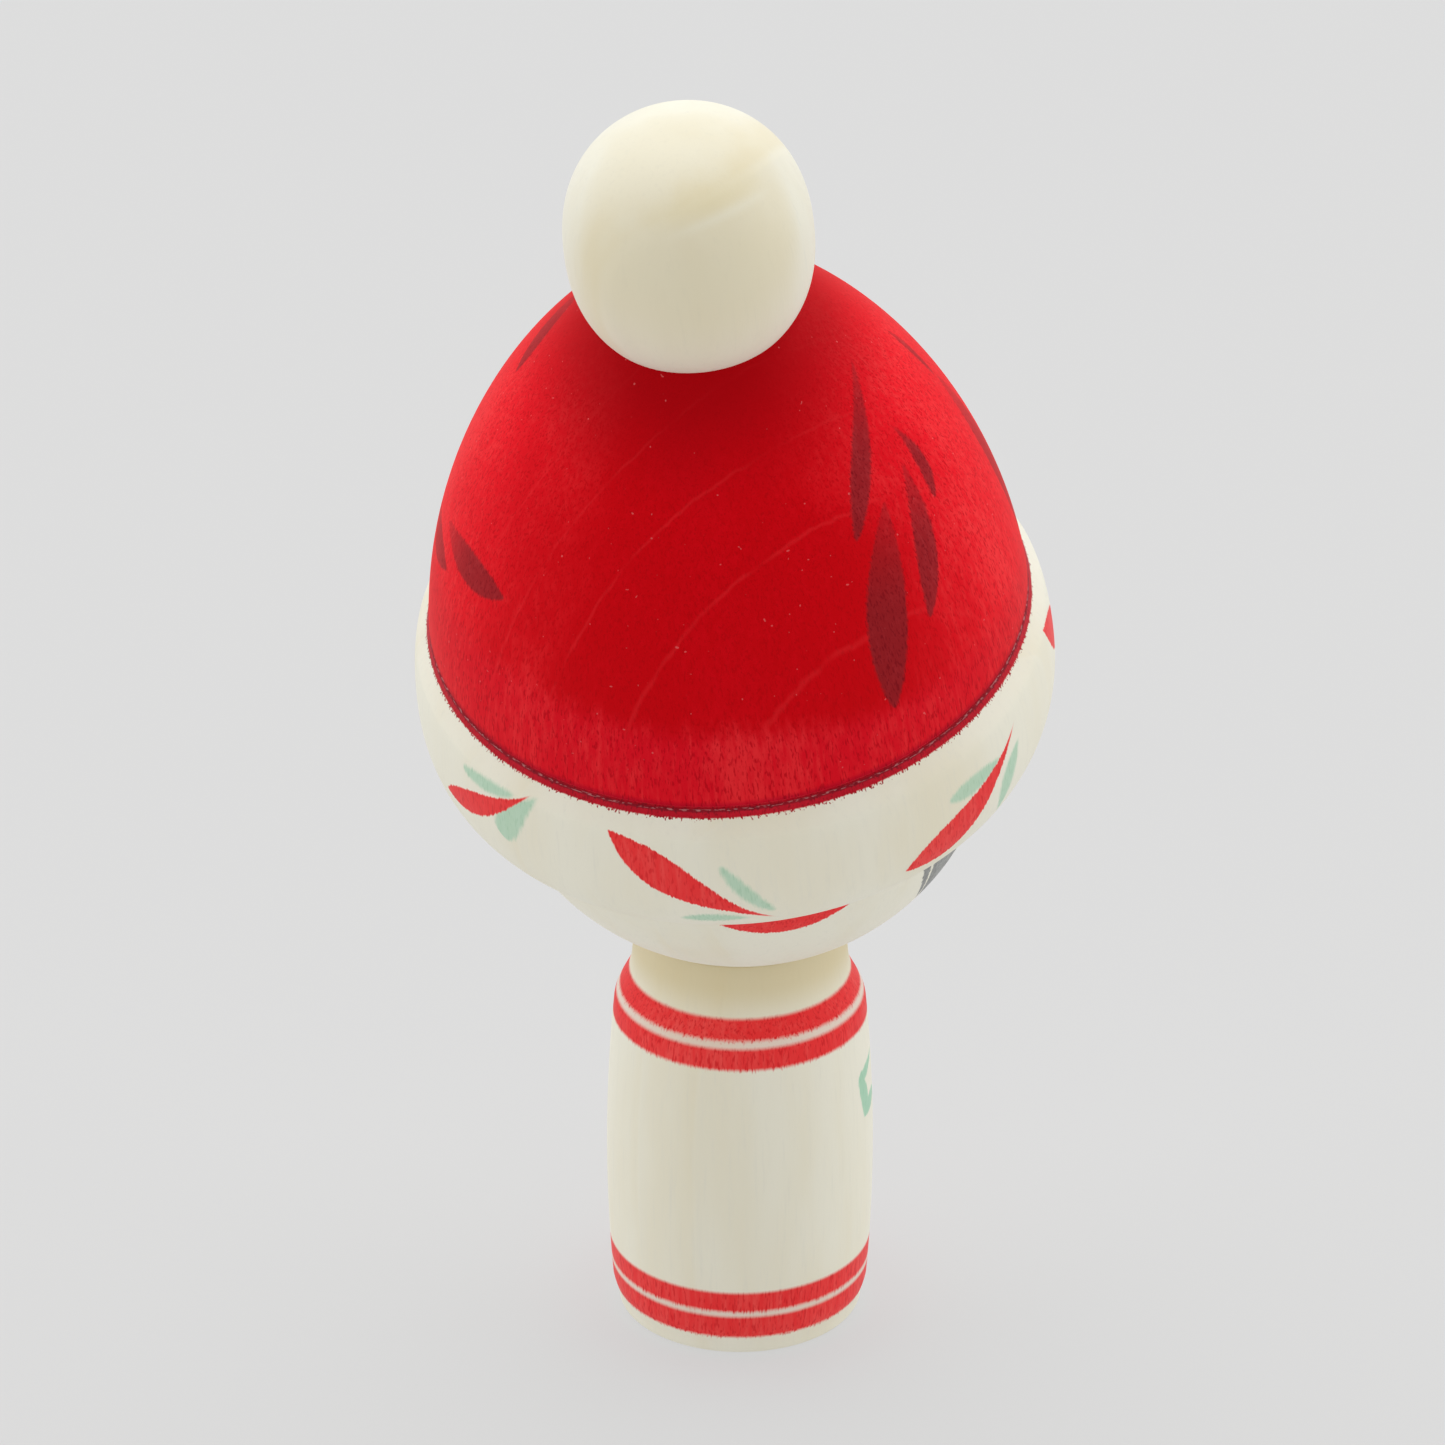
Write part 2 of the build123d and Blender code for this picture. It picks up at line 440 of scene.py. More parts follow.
def startWood(name, height, tilt, piece):
    # a new material with the piece's own millimetre coordinates and its bare wood colour
    material = bpy.data.materials.new(name)
    material.use_nodes = True
    tree = material.node_tree
    shader = tree.nodes["Principled BSDF"]
    mapping = tree.nodes.new("ShaderNodeMapping")
    mapping.vector_type = "TEXTURE"
    mapping.inputs["Location"].default_value = (0, 0, height * mm)
    mapping.inputs["Rotation"].default_value = (-tilt, 0, 0)
    mapping.inputs["Scale"].default_value = (mm, mm, mm)
    coordinates = tree.nodes.new("ShaderNodeTexCoord")
    tree.links.new(coordinates.outputs["Object"], mapping.inputs["Vector"])
    vector = mapping.outputs["Vector"]
    place = useGroup(tree, turnedPlace, {"Vector": vector})
    pithX, pithY = piece["pith"]
    grain = useGroup(tree, woodGrain, {"Vector": vector, "Pith X": pithX, "Pith Y": pithY,
                                       "Ring Gap": piece["ringGap"]})
    bare = useGroup(tree, bareWood, {
        "Tone": grain["Tone"], "Streak": grain["Streak"], "Pore": grain["Pore"],
        "Season": grain["Season"], "Pale": creamWood["pale"], "Warm": creamWood["warm"],
        "Grey": creamWood["grey"], "Late": creamWood["late"], "Figure": creamWood["figure"],
        "Years": piece["years"]})["Color"]
    shader.inputs["Roughness"].default_value = creamWood["roughness"]
    shader.inputs["Specular IOR Level"].default_value = creamWood["specular"]
    shader.inputs["Sheen Weight"].default_value = creamWood["sheen"]
    shader.inputs["Sheen Roughness"].default_value = creamWood["sheenRoughness"]
    return {"material": material, "tree": tree, "shader": shader, "vector": vector,
            "turn": place["Turn"], "girth": place["Girth"], "rise": place["Rise"],
            "grain": grain, "colour": bare}


def finishWood(wood):
    tree = wood["tree"]
    tree.links.new(wood["colour"], wood["shader"].inputs["Base Color"])
    bump = tree.nodes.new("ShaderNodeBump")
    bump.inputs["Strength"].default_value = creamWood["grainBump"]
    bump.inputs["Distance"].default_value = creamWood["bumpDepth"] * mm
    tree.links.new(wood["grain"]["Height"], bump.inputs["Height"])
    tree.links.new(bump.outputs["Normal"], wood["shader"].inputs["Normal"])
    return wood["material"]


def strokesMask(wood, strokes, rise=None, soft=0.2, fade=0.0):
    # the union of a list of strokes, each (turn, rise, length, width, lean, bow, heel, tip)
    union = None
    for turn, up, length, width, lean, bow, heel, tip in strokes:
        # the width given is that of the widest place, whatever the heel and tip
        widest = (heel - tip) / (heel + tip)
        swell = (1 + widest) ** heel * (1 - widest) ** tip
        stroke = useGroup(wood["tree"], brushStroke, {
            "Turn": wood["turn"], "Girth": wood["girth"], "Rise": rise or wood["rise"],
            "Grain": wood["grain"]["Pore"], "At Turn": turn, "At Rise": up, "Length": length,
            "Width": width / swell, "Lean": lean, "Bow": bow, "Heel": heel, "Tip": tip,
            "Soft": soft, "Fade": fade})["Stroke"]
        union = calc(wood["tree"], "MAXIMUM", union, stroke) if union else stroke
    return union


def bandMask(wood, low, high, soft, creep):
    return useGroup(wood["tree"], dyeBand, {
        "Rise": wood["rise"], "Grain": wood["grain"]["Pore"], "Low": low, "High": high,
        "Soft": soft, "Creep": creep})["Band"]


# each dye has its own colour, a pale one for hard fibres and a dark one for pores
paints = {
    "red": (colour(241, 48, 50), colour(247, 84, 80), colour(216, 24, 32)),
    # the dome's deep red, used darker as painted shade, and a lighter red used as a painted sheen
    "shadedDeepRed": (colour(204, 0, 12), colour(220, 4, 22), colour(178, 0, 8)),
    "sheenLitRed": (colour(240, 14, 34), colour(248, 56, 60), colour(204, 0, 20)),
    "thinRed": (colour(222, 12, 32), colour(238, 46, 52), colour(186, 0, 20)),
    "pooledRed": (colour(188, 2, 32), colour(206, 16, 42), colour(142, 0, 22)),
    "brown": (colour(128, 30, 36), colour(146, 44, 50), colour(98, 12, 24)),
    "green": (colour(170, 212, 184), colour(190, 222, 200), colour(140, 194, 160)),
    "hair": (colour(54, 54, 57), colour(92, 92, 94), colour(28, 28, 30)),
    "thinHair": (colour(122, 125, 128), colour(180, 182, 182), colour(66, 68, 72)),
    "ink": (colour(34, 30, 32), colour(60, 56, 58), colour(20, 18, 20)),
}


def dyed(wood, paint, mottle):
    grain = wood["grain"]
    dye, pale, dark = paints[paint]
    return useGroup(wood["tree"], dyeDepth, {
        "Streak": grain["Streak"], "Pore": grain["Pore"], "Tone": grain["Tone"],
        "Dye": dye, "Pale": pale, "Dark": dark, "Mottle": mottle})["Color"]


def layOn(wood, mask, paint, strength=1.0):
    tree = wood["tree"]
    amount = calc(tree, "MULTIPLY", mask, strength) if strength != 1.0 else mask
    wood["colour"] = mixColour(tree, amount, wood["colour"], paint)


# the body is a slim barrel with two pairs of rings and a painted flower

body = {
    "height": bodyHigh.z / mm,
    "bellyRadius": (bodyHigh.x - bodyLow.x) / 2 / mm,
    "bellyRise": 17.5,
    "footInset": 1.05,
    "footEase": 0.5,
    "footFlare": 0.06,
    "flankInset": 0.5,
    "flankRise": 2.8,
    "shoulderInset": 0.7,
    "shoulderDrop": 8.1,
    "rimRadius": 9.35,
    "rimLand": 0.25,
    "rimEase": ((0.02, 0.1), (-0.06, 0)),
    "neckFlare": 0.4,
    "neckDrop": 4.1,
    "neckBend": 0.04,
    "seatGap": 0.05,
    "tenonRadius": 4.5,
    "tenonLength": 15.0,
    "knobSwell": 0.6,
    "knobHeight": 4.0,
    "knobSlope": 1.2,
    "tenonGap": 0.05,
    "tenonEndGap": 0.3,
    "scribedRings": (3.2, 7.6),
    "scribeDepth": 0.12,
    "scribeHalf": 0.15,
    "steps": 180,
    "curveSteps": {"ease": 6, "foot": 8, "flank": 40, "neck": 14, "seat": 12},
    "pith": (26.0, -14.0),
    "ringGap": 5.2,
    "years": 0.1,
    # painted shade under the ball: how far below the top it starts and where it is full, then its colour
    "neckShadeDrops": (6.6, 1.8),
    "neckShadeColour": colour(216, 199, 152),
    "rings": ((32.45, 34.21), (29.77, 31.75), (4.85, 6.84), (1.98, 4.25)),
    "hazes": ((1.98, 6.84), (29.77, 34.21)),
    "hazeColour": colour(232, 196, 186),
    # the flower: petals and heart fan out from a centre, in degrees of turn and millimetres of rise
    "petals": {"count": 9, "angle": 25, "across": 22.4, "centre": 18.8, "up": 4.7,
               "size": (5.4, 2.1), "shape": (1.2, 0.5)},
    "heart": {"count": 5, "angle": 38, "across": 8.5, "centre": 18.7, "up": 1.8,
              "size": (2.6, 1.1), "shape": (1.1, 0.6)},
    "lowPetals": [(-13, 14.7, 4.6, 1.9, -130, -0.2, 0.6, 1.0), (0, 15.4, 4.6, 1.9, -90, 0.0, 0.6, 1.0),
                  (13, 14.7, 4.6, 1.9, -50, 0.2, 0.6, 1.0)],
    "pollen": [(0, 18.3, 1.7, 1.3, 0, 0, 0.5, 0.5)],
    "heartColour": colour(244, 190, 176),
    "pollenColour": colour(232, 196, 92),
    "leaves": [(273, 25.6, 5.0, 1.3, -161, 0.2, 1.3, 0.4), (265.5, 22.9, 4.5, 1.7, -75, 0.4, 0.4, 0.4),
               (275.5, 21.6, 3.8, 1.6, 12, 0.0, 0.4, 0.6), (302, 22.3, 8.4, 2.8, -165, 0.8, 0.7, 1.0),
               (306, 16.8, 8.0, 2.5, -152, -0.7, 0.7, 1.1), (304, 27.0, 7.0, 1.8, 172, -0.6, 0.8, 1.1),
               (58, 22.3, 8.4, 2.8, -12, -0.8, 0.7, 1.0), (54, 16.8, 8.0, 2.5, -28, 0.7, 0.7, 1.1),
               (57, 27.0, 7.0, 1.8, 8, 0.6, 0.8, 1.1), (86, 23.8, 4.5, 1.6, -60, 0.3, 0.6, 0.9),
               (0, 11.6, 5.5, 1.3, -90, 0.3, 0.7, 0.9)],
}


def tenonOutline(gap, endGap):
    # from the bottom of the tenon on the axis, out and up to the ball
    bottom = headCentre - headRadius - body["tenonLength"] - endGap
    shank, top = body["tenonRadius"] + gap, bottom + body["knobHeight"] + 2 * endGap
    knob = shank + body["knobSwell"]
    return [(0, bottom), (shank, bottom), (knob, bottom + body["knobSlope"]),
            (knob, top - body["knobSlope"]), (shank, top)]


def bodyOutline():
    b, steps = body, body["curveSteps"]
    foot = b["bellyRadius"] - b["footInset"]
    base = [(0, 0)]
    for ring in b["scribedRings"]:
        base += [(ring - b["scribeHalf"], 0), (ring, b["scribeDepth"]), (ring + b["scribeHalf"], 0)]
    ease = arcPoints((foot - b["footEase"], b["footEase"]), b["footEase"], -90, 0, steps["ease"])
    shoulder = (b["bellyRadius"] - b["shoulderInset"], b["height"] - b["shoulderDrop"])
    flankFoot = (b["bellyRadius"] - b["flankInset"], b["flankRise"])
    rise = b["flankRise"] - b["footEase"]
    lower = curveBetween(ease[-1], flankFoot, ((0, rise / 3), (-b["footFlare"] * rise, -rise / 3)),
                         steps["foot"])
    flank = threePointArc(flankFoot, (b["bellyRadius"], b["bellyRise"]), shoulder, steps["flank"])
    neckEnd = (b["rimRadius"] + b["neckFlare"], b["height"] - b["neckDrop"])
    fall = neckEnd[1] - shoulder[1]
    bend = b["neckBend"] * fall
    neck = curveBetween(shoulder, neckEnd, ((-bend, fall / 3), (bend, -fall / 3)), steps["neck"])
    rim = [(b["rimRadius"] + out, b["height"] - drop) for out, drop in b["rimEase"]]
    seat = headRadius + b["seatGap"]
    socket = tenonOutline(b["tenonGap"], b["tenonEndGap"])
    mouth, throat = (-math.degrees(math.acos(radius / seat))
                     for radius in (b["rimRadius"] - b["rimLand"], socket[-1][0]))
    hollow = arcPoints((0, headCentre), seat, mouth, throat, steps["seat"])
    return base + ease + lower[1:] + flank[1:] + neck[1:] + rim + hollow + socket[::-1]


def fanOfStrokes(fan):
    # strokes that point away from a centre, like the ribs of a fan
    half = fan["count"] // 2
    strokes = []
    for k in range(-half, half + 1):
        angle = k * fan["angle"]
        turn = fan["across"] * math.sin(math.radians(angle))
        rise = fan["centre"] + fan["up"] * math.cos(math.radians(angle))
        strokes.append((turn, rise, *fan["size"], 90 - angle, 0, *fan["shape"]))
    return strokes


def paintBody():
    wood = startWood("paintedBodyWood", 0, 0, body)
    red = dyed(wood, "red", mottle=0.8)
    green = dyed(wood, "green", mottle=0.4)
    # painted shade: the neck is painted warmer and darker just under the ball, where the ball shades it
    low, high = (body["height"] - drop for drop in body["neckShadeDrops"])
    layOn(wood, smooth(wood["tree"], wood["rise"], low, high), body["neckShadeColour"], strength=0.7)
    # a faint pink haze between each pair of rings, where the dye has spread
    for low, high in body["hazes"]:
        layOn(wood, bandMask(wood, low, high, soft=0.3, creep=0.2), body["hazeColour"], strength=0.5)
    for low, high in body["rings"]:
        layOn(wood, bandMask(wood, low, high, soft=0.5, creep=0.2), red)
    # the leaves reach round both sides, and the flower lies over them
    petals = fanOfStrokes(body["petals"]) + body["lowPetals"]
    layOn(wood, strokesMask(wood, body["leaves"], soft=0.35), green)
    layOn(wood, strokesMask(wood, petals), red)
    layOn(wood, strokesMask(wood, fanOfStrokes(body["heart"])), body["heartColour"])
    layOn(wood, strokesMask(wood, body["pollen"]), body["pollenColour"])
    return finishWood(wood)


turnedBody = turnOnLathe("turnedBody", bodyOutline(), 0, 0, body["steps"])
turnedBody.data.materials.append(paintBody())
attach(turnedBody, "body")
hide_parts("body")
print("body turned and painted")


# the head is a ball with a painted face, hair and a red leaf at the nape

sides = (-1, 1)
head = {
    "steps": 180,
    "arcSteps": 110,
    "pith": (31.0, 12.0),
    "ringGap": 5.0,
    "years": 0.1,
    "poleShare": 0.999,  # how near to the poles the painting goes
    "blushColour": colour(236, 150, 140),
    # strokes as on the body, with the rise measured over the ball from its widest place
    "blush": [(side * 33, -6.5, 5.0, 4.0, 0, 0, 0.5, 0.5) for side in sides],
    "broadLocks": [(side * 102.2, -5.0, 23.0, 7.0, -90 - side * 5, 0.0, 0.4, 0.7) for side in sides],
    "stragglers": [(side * 114, -6.7, 18.0, 1.1, -90 - side * 20, 0.0, 0.6, 0.8) for side in sides],
    "locks": [(side * (64 + 8 * k), -1.5 - 1.2 * k, 16 + k, 3.6, -90 - side * 3, -0.4 * side, 0.4, 0.9)
              for side in sides for k in range(4)],
    "fringe": [(side * (4.5 + 9 * k), 9.8 + 0.4 * k, 15.0 - 0.6 * k, 3.0, -90 + side * 3 * k, 0.0, 0.4, 0.9)
               for side in sides for k in range(5)],
    "brows": [(side * 19, 1.9, 5.6, 0.42, 0, 0.8, 0.7, 0.7) for side in sides],
    "lids": [(side * 19, -1.9, 5.2, 0.62, 0, 0.9, 0.5, 0.5) for side in sides],
    "pupils": [(side * 18.5, -2.0, 1.5, 1.35, 90, 0, 0.5, 0.5) for side in sides],
    "nose": [(0, -5.4, 1.9, 0.38, 0, -0.55, 0.6, 0.6)],
    "lips": [(0, -9.3, 3.0, 0.8, 0, 0.15, 0.7, 0.7), (0, -9.95, 2.2, 0.75, 0, -0.2, 0.6, 0.6)],
    "napeLeaf": [(208, -9.2, 14.8, 3.6, 6, -1.4, 1.0, 1.2)],
}


def headOutline():
    stem = tenonOutline(0, 0)
    start = -math.degrees(math.acos(body["tenonRadius"] / headRadius))
    return stem + arcPoints((0, headCentre), headRadius, start, 90, head["arcSteps"])


def paintHead():
    wood = startWood("paintedHeadWood", headCentre, 0, head)
    tree = wood["tree"]
    share = calc(tree, "MINIMUM", calc(tree, "DIVIDE", wood["rise"], headRadius), head["poleShare"])
    share = calc(tree, "MAXIMUM", share, -head["poleShare"])
    up = calc(tree, "MULTIPLY", calc(tree, "ARCSINE", share), headRadius)
    red = dyed(wood, "red", mottle=0.8)
    ink = dyed(wood, "ink", mottle=0.4)
    layOn(wood, strokesMask(wood, head["blush"], up, soft=1.8), head["blushColour"], strength=0.3)
    thinHair = strokesMask(wood, head["broadLocks"] + head["stragglers"], up)
    layOn(wood, thinHair, dyed(wood, "thinHair", mottle=0.8), strength=0.88)
    hair = strokesMask(wood, head["locks"] + head["fringe"], up)
    layOn(wood, hair, dyed(wood, "hair", mottle=0.6), strength=0.92)
    features = head["brows"] + head["lids"] + head["pupils"] + head["nose"]
    layOn(wood, strokesMask(wood, features, up, soft=0.12), ink)
    layOn(wood, strokesMask(wood, head["lips"] + head["napeLeaf"], up), red)
    return finishWood(wood)


turnedHead = turnOnLathe("turnedHead", headOutline(), 0, 0, head["steps"])
turnedHead.data.materials.append(paintHead())
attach(turnedHead, "head")
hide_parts("head")
print("head turned and painted")


# the hat has a rolled brim, a scribed crease and a dyed dome

hatGap = 0.3  # between the ball and the hollow
hat = {
    "hollowRadius": headRadius + hatGap,
    "rimDrop": 0.4,
    "rimWidth": 3.45,
    "rimEase": 0.25,
    "rimEaseMiddle": (0.06, 0.08),
    "brimWall": 5.2,
    "brimBellyRise": 5.2,
    "brimShoulder": 4.73,
    "brimShoulderRise": 10.9,
    # handles of the brim's three curves, from the crease down to the rim
    "topHandles": ((0.35, -0.9), (-0.4, 0.9)),
    "sideHandles": ((0.35, -1.3), (0.05, 1.9)),
    "underHandles": ((-0.05, -2.0), (1.2, 1.4)),
    "creaseRise": 13.65,
    "creaseWidth": 0.6,
    "creaseDepth": 0.3,
    "creaseEase": (0.05, 0.08),
    "domeWall": 3.35,
    "domeSweep": 50.7,
    "crownRise": headRadius + hatGap + 25.5,
    "crownRadius": 8.76,
    "dowelHole": 3.05,
    "holeDepth": 7.4,
    "steps": 200,
    "curveSteps": {"dome": 80, "top": 14, "side": 16, "under": 18, "ceiling": 60},
    "pith": (30.3, -25.1),
    "ringGap": 4.85,
    "years": 0.1,
    "outerWall": 1.0,  # what is farther than this from the hollow is outside
    "outerEase": 0.2,
    # dye round the crease: its lower end, and a dark line with torn fibres from the lower lip
    "dyeRise": 12.78,
    "aboveAll": 99.0,
    "creaseColour": colour(96, 6, 26),
    "creaseLine": (-0.06, 0.16),
    "creaseStrength": 0.6,
    "fibreColour": colour(206, 140, 142),
    "fibreLine": (0.02, 0.13),
    "fibreSpread": (30.0, 5.0),  # of the torn fibres' noise, round the hat and up it
    "fibreNoise": {"scale": 1.4, "detail": 2.0},
    "fibreShare": (0.5, 0.6),
    "fibreStrength": 0.7,
    # dye on the dome: painted shade darkens it on two opposite sides and a painted sheen lightens it
    # between them, over a thinner streaky band near its foot
    "shadedTurn": 196,
    "shadedTone": 0.8,
    "shadedSwing": -0.5,
    "shadedLevel": 0.1,
    "sheenLitShare": (0.15, 1.15),
    "bandTurn": 130,
    "bandSway": 2.6,
    "bandTone": 2.0,
    "bandRise": 2.8,
    "bandStreak": 2.4,
    "bandEdge": (-0.6, 3.0),
    "yearNoise": {"scale": 0.2, "detail": 1.0},
    "yearShare": (0.3, 0.6),
    "yearStrength": 0.26,
    # painted shadow of the bobble on the dome: its colour, how much the grain moves it, where it comes in
    # and how strong it is
    "crownShadowColour": colour(168, 0, 10),
    "crownShadowTone": 6.0,
    "crownShadowRise": (30.0, 42.0),
    "crownShadowStrength": 0.8,
    "fleckColour": colour(236, 128, 128),
    "fleckNoise": {"scale": 2.6, "detail": 0.0},
    "fleckShare": (0.84, 0.88),
    "fleckStrength": 0.4,
    "footEdge": (0.0, 0.7),
    "domeSpecular": 0.04,
    "domeSheen": 0.7,
    "domeSheenRoughness": 0.35,
    "domeSheenTint": (1, 0.1, 0.1, 1),
    # strokes round the hat, each (turn, rise, length, width, lean, bow, heel, tip)
    "brimRed": [(189, 5.75, 18.8, 3.8, -35, -0.6, 1.1, 2.4), (144.5, 8.2, 14.6, 2.5, 31, -0.8, 0.8, 1.7),
                (243.5, 6.2, 17.6, 3.8, 28, -1.3, 0.95, 2.3), (292, 6.2, 16.6, 3.9, -36, -0.5, 1.1, 2.1),
                (337, 6.6, 15.6, 3.4, 29, -1.0, 0.8, 1.8), (22, 6.2, 16.4, 3.8, -36, -0.5, 1.1, 2.1),
                (64, 6.0, 15.6, 3.6, 28, -1.2, 0.9, 2.0), (103, 6.6, 15.0, 3.6, -34, -0.5, 1.1, 2.0)],
    "brimGreen": [(198, 5.3, 7.8, 1.3, -55, -0.3, 0.6, 0.6), (192, 1.3, 7.0, 1.2, -1, 0.3, 1.0, 1.4),
                  (146, 10.3, 7.3, 1.4, 9, -0.3, 0.6, 0.8), (154, 8.6, 8.0, 2.8, 55, 0.4, 0.4, 1.2),
                  (245, 7.7, 7.3, 1.9, 1, -0.1, 0.8, 1.2), (255, 4.1, 7.9, 2.0, -115, -0.8, 1.3, 1.3),
                  (302, 5.5, 7.6, 1.3, -54, -0.3, 0.6, 0.6), (296, 1.5, 7.0, 1.2, 1, 0.3, 1.0, 1.4),
                  (338, 9.6, 7.3, 1.6, 9, -0.3, 0.6, 0.8), (348, 7.0, 7.8, 2.4, 56, 0.4, 0.4, 1.2),
                  (32, 5.4, 7.6, 1.3, -54, -0.3, 0.6, 0.6), (26, 1.4, 7.0, 1.2, 0, 0.3, 1.0, 1.4),
                  (66, 8.0, 7.2, 1.8, 3, -0.1, 0.8, 1.2), (76, 4.2, 7.6, 1.9, -114, -0.7, 1.3, 1.3),
                  (112, 5.6, 7.4, 1.3, -54, -0.3, 0.6, 0.6), (107, 1.6, 7.0, 1.2, 1, 0.3, 1.0, 1.4)],
    "brownLeaves": [
        (250, 27.6, 16.6, 2.1, -132, -0.4, 1.1, 0.8), (262, 23.7, 9.0, 1.5, -92, 1.0, 1.9, 0.9),
        (238, 14.2, 18.8, 4.2, -109, -1.0, 0.9, 0.8), (251, 17.8, 14.2, 2.6, -111, 0.5, 1.0, 0.8),
        (296.5, 12.0, 19.0, 4.2, -98, 0.0, 0.9, 0.8), (300, 25.2, 7.5, 1.0, -96, 0.2, 1.0, 1.0),
        (128, 14.5, 12.8, 3.2, 4, -0.2, 1.1, 0.9), (107, 10.5, 11.0, 2.8, 3, -0.2, 1.1, 0.9),
        (89, 33.0, 10.8, 2.6, -54, 0.0, 1.0, 0.9),
        (10, 14.4, 18.0, 4.0, -108, -0.8, 0.9, 0.8), (24, 18.6, 14.0, 2.6, -111, 0.5, 1.0, 0.8),
        (18, 27.0, 15.0, 2.0, -131, -0.4, 1.1, 0.8), (346, 20.5, 12.0, 2.8, -70, 0.6, 1.0, 0.9),
        (333, 12.6, 11.5, 3.0, -62, 0.5, 1.0, 0.9), (64, 13.0, 17.6, 4.0, -104, -0.6, 0.9, 0.8),
        (77, 18.5, 13.0, 2.4, -112, 0.4, 1.0, 0.8)
    ],
}


def arcCentre(a, b, radius):
    # centre of the arc from a to b that bulges outwards
    middle = ((a[0] + b[0]) / 2, (a[1] + b[1]) / 2)
    chord = math.dist(a, b)
    reach = math.sqrt(radius ** 2 - chord ** 2 / 4)
    return (middle[0] - reach * (b[1] - a[1]) / chord, middle[1] + reach * (b[0] - a[0]) / chord)


domeFoot = (hat["hollowRadius"] + hat["domeWall"], hat["creaseRise"] + hat["creaseWidth"] / 2)
crownEdge = (hat["crownRadius"], hat["crownRise"])
domeCentre = arcCentre(domeFoot, crownEdge, hat["domeSweep"])


def hatOutline():
    h, steps = hat, hat["curveSteps"]
    hollow, rim = h["hollowRadius"], -h["rimDrop"]
    holeFloor = h["crownRise"] - h["holeDepth"]
    hole = [(0, holeFloor), (h["dowelHole"], holeFloor), (h["dowelHole"], h["crownRise"])]
    start, end = (math.degrees(math.atan2(up - domeCentre[1], out - domeCentre[0]))
                  for out, up in (crownEdge, domeFoot))
    dome = arcPoints(domeCentre, h["domeSweep"], start, end, steps["dome"])
    # the corners of the crease are eased a little
    easeOut, easeUp = h["creaseEase"]
    low = (domeFoot[0], domeFoot[1] - h["creaseWidth"])
    bottom = domeFoot[0] - h["creaseDepth"]
    crease = [(domeFoot[0] - easeOut, domeFoot[1] - easeUp),
              (bottom + easeOut, h["creaseRise"] + easeUp),
              (bottom + easeOut, h["creaseRise"] - easeUp),
              (low[0] - easeOut, low[1] + easeUp)]
    shoulder = (hollow + h["brimShoulder"], h["brimShoulderRise"])
    belly = (hollow + h["brimWall"], h["brimBellyRise"])
    lip = (hollow + h["rimWidth"], rim)
    top = curveBetween(low, shoulder, h["topHandles"], steps["top"])
    side = curveBetween(shoulder, belly, h["sideHandles"], steps["side"])
    under = curveBetween(belly, lip, h["underHandles"], steps["under"])
    inOut, inUp = h["rimEaseMiddle"]
    inner = [(hollow + h["rimEase"], rim), (hollow + inOut, rim + inUp), (hollow, rim + h["rimEase"])]
    ceiling = arcPoints((0, 0), hollow, 0, 90, steps["ceiling"])
    return hole + dome + crease + top + side[1:] + under[1:] + inner + ceiling


def startHatWood(name):
    # hat wood, with the rise along the dome's curve and a mask for the outer side
    wood = startWood(name, headCentre, hatTilt, hat)
    tree = wood["tree"]
    share = calc(tree, "SUBTRACT", wood["rise"], domeCentre[1])
    share = calc(tree, "DIVIDE", share, hat["domeSweep"], clamp=True)
    footAngle = math.asin((domeFoot[1] - domeCentre[1]) / hat["domeSweep"])
    turned = calc(tree, "SUBTRACT", calc(tree, "ARCSINE", share), footAngle)
    wood["upDome"] = calc(tree, "MULTIPLY", turned, hat["domeSweep"])
    outer = hat["hollowRadius"] + hat["outerWall"]
    reach = vectorCalc(tree, "LENGTH", wood["vector"])
    wood["outside"] = smooth(tree, reach, outer - hat["outerEase"], outer + hat["outerEase"])
    return wood


def onOutside(wood, mask):
    return calc(wood["tree"], "MULTIPLY", mask, wood["outside"])


def dyeEdge(wood):
    # dye pools at the crease and creeps a little down the grain; the crease itself is a dark
    # line with a few torn pale fibres in it
    tree = wood["tree"]
    lip = hat["creaseRise"] - hat["creaseWidth"] / 2
    line, fibres = hat["creaseLine"], hat["fibreLine"]
    pooled = dyed(wood, "pooledRed", mottle=0.7)
    lineMask = bandMask(wood, lip + line[0], lip + line[1], soft=0.14, creep=0.1)
    lineMask = calc(tree, "MULTIPLY", lineMask, hat["creaseStrength"])
    pooled = mixColour(tree, lineMask, pooled, hat["creaseColour"])
    around = tree.nodes.new("ShaderNodeCombineXYZ")
    for socket, place, spread in zip(around.inputs, ("turn", "rise"), hat["fibreSpread"]):
        feed(tree, socket, calc(tree, "MULTIPLY", wood[place], spread))
    torn = smooth(tree, noise(tree, around.outputs[0], **hat["fibreNoise"]), *hat["fibreShare"])
    fibreMask = bandMask(wood, lip + fibres[0], lip + fibres[1], soft=0.08, creep=0.0)
    fibreMask = calc(tree, "MULTIPLY", fibreMask, hat["fibreStrength"])
    fibreMask = calc(tree, "MULTIPLY", torn, fibreMask)
    pooled = mixColour(tree, fibreMask, pooled, hat["fibreColour"])
    zone = bandMask(wood, hat["dyeRise"], hat["aboveAll"], soft=0.15, creep=0.3)
    return pooled, onOutside(wood, zone)


def paintBrim():
    wood = startHatWood("paintedBrimWood")
    greenMask = onOutside(wood, strokesMask(wood, hat["brimGreen"], soft=0.6))
    layOn(wood, greenMask, dyed(wood, "green", mottle=0.5), strength=0.78)
    redMask = onOutside(wood, strokesMask(wood, hat["brimRed"]))
    layOn(wood, redMask, dyed(wood, "red", mottle=0.7))
    pooled, zone = dyeEdge(wood)
    layOn(wood, zone, pooled)
    return finishWood(wood)


